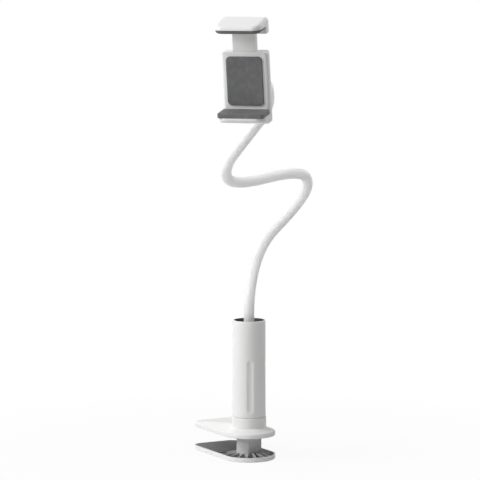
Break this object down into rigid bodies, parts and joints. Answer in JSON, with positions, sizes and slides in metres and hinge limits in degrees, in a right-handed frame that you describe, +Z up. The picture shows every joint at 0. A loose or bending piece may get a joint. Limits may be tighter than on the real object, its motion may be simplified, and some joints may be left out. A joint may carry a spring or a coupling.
{
  "type": "desk phone stand",
  "caption": "Desk clamp with a twist sleeve and tongue-shaped jaws, a bendable arm and a spring clip on a ball joint that holds a phone.",
  "frame": {"origin": "on the clamp stem's axis, at the underside of the lower jaw", "axes": "+Z up along the stem, the jaws point between -X and +Y, 25.5 degrees from -X, the clip faces mostly -Y"},
  "size_m": [0.209, 0.261, 0.4386],
  "materials": {
    "white_plastic": "satin moulded white plastic",
    "white_sheath": "smooth satin white sheath",
    "grey_silicone": "matte dark grey silicone",
    "steel": "plain steel",
    "aluminium": "plain aluminium",
    "chromed_steel": "polished chromed steel"
  },
  "bodies": {
    "base": {"lower_jaw": "white_plastic", "lower_jaw_pad": "grey_silicone", "clamp_stem": "white_plastic", "stem_screws": "steel", "arm_lower_ferrule": "aluminium", "arm_set_screw": "steel"},
    "upper_jaw": {"upper_jaw": "white_plastic", "upper_jaw_pad": "grey_silicone", "sleeve_retaining_ring": "steel"},
    "sleeve": {"twist_sleeve": "white_plastic"},
    "arm": {"arm_core": "aluminium", "arm_sleeve": "white_sheath", "arm_upper_ferrule": "aluminium"},
    "ball_stud": {"ball_stud": "chromed_steel"},
    "ball_nut": {"ball_lock_nut": "white_plastic"},
    "clip": {"rear_cover": "white_plastic", "cover_screws": "steel", "clip_body": "white_plastic", "clip_back_pad": "grey_silicone", "lower_grip_pad": "grey_silicone", "grip_spring_left": "steel", "grip_spring_right": "steel", "spring_pins": "steel"},
    "upper_grip": {"upper_grip": "white_plastic", "upper_grip_pad": "grey_silicone"}
  },
  "joints": [
    {"name": "jaw_slide", "type": "slide", "parent": "base", "child": "upper_jaw", "axis": [0, 0, 1], "range_m": [-0.014, 0.032]},
    {"name": "sleeve_turn", "type": "hinge", "parent": "upper_jaw", "child": "sleeve", "pos_m": [0, 0, 0.09], "axis": [0, 0, 1], "range_deg": [-840, 1920]},
    {"name": "arm_bend", "type": "hinge", "parent": "base", "child": "arm", "pos_m": [-0.003, 0.007, 0.168], "axis": [0.8, 0.6, 0], "range_deg": [-25, 25], "deforming": ["arm_sleeve", "arm_core"]},
    {"name": "ball_swivel", "type": "hinge", "parent": "arm", "child": "ball_stud", "pos_m": [0.0972, -0.1288, 0.3826], "axis": [0.3325, -0.9391, 0.0872], "continuous": true},
    {"name": "ball_tilt", "type": "hinge", "parent": "ball_stud", "child": "ball_nut", "pos_m": [0.0972, -0.1288, 0.3826], "axis": [0.9426, 0.3338, 0], "range_deg": [-54, 25]},
    {"name": "ball_spin", "type": "hinge", "parent": "ball_nut", "child": "clip", "pos_m": [0.0972, -0.1288, 0.3826], "axis": [0.3292, -0.9297, -0.165], "continuous": true},
    {"name": "grip_slide", "type": "slide", "parent": "clip", "child": "upper_grip", "axis": [0.0551, -0.1556, 0.9863], "range_m": [-0.014, 0.018], "stiffness_N_per_m": 150, "springref_m": -0.04, "deforming": ["grip_spring_left", "grip_spring_right"]}
  ],
  "couplings": [
    {"joint": "sleeve_turn", "follows": "jaw_slide", "rad_per_m": 1047.2}
  ]
}
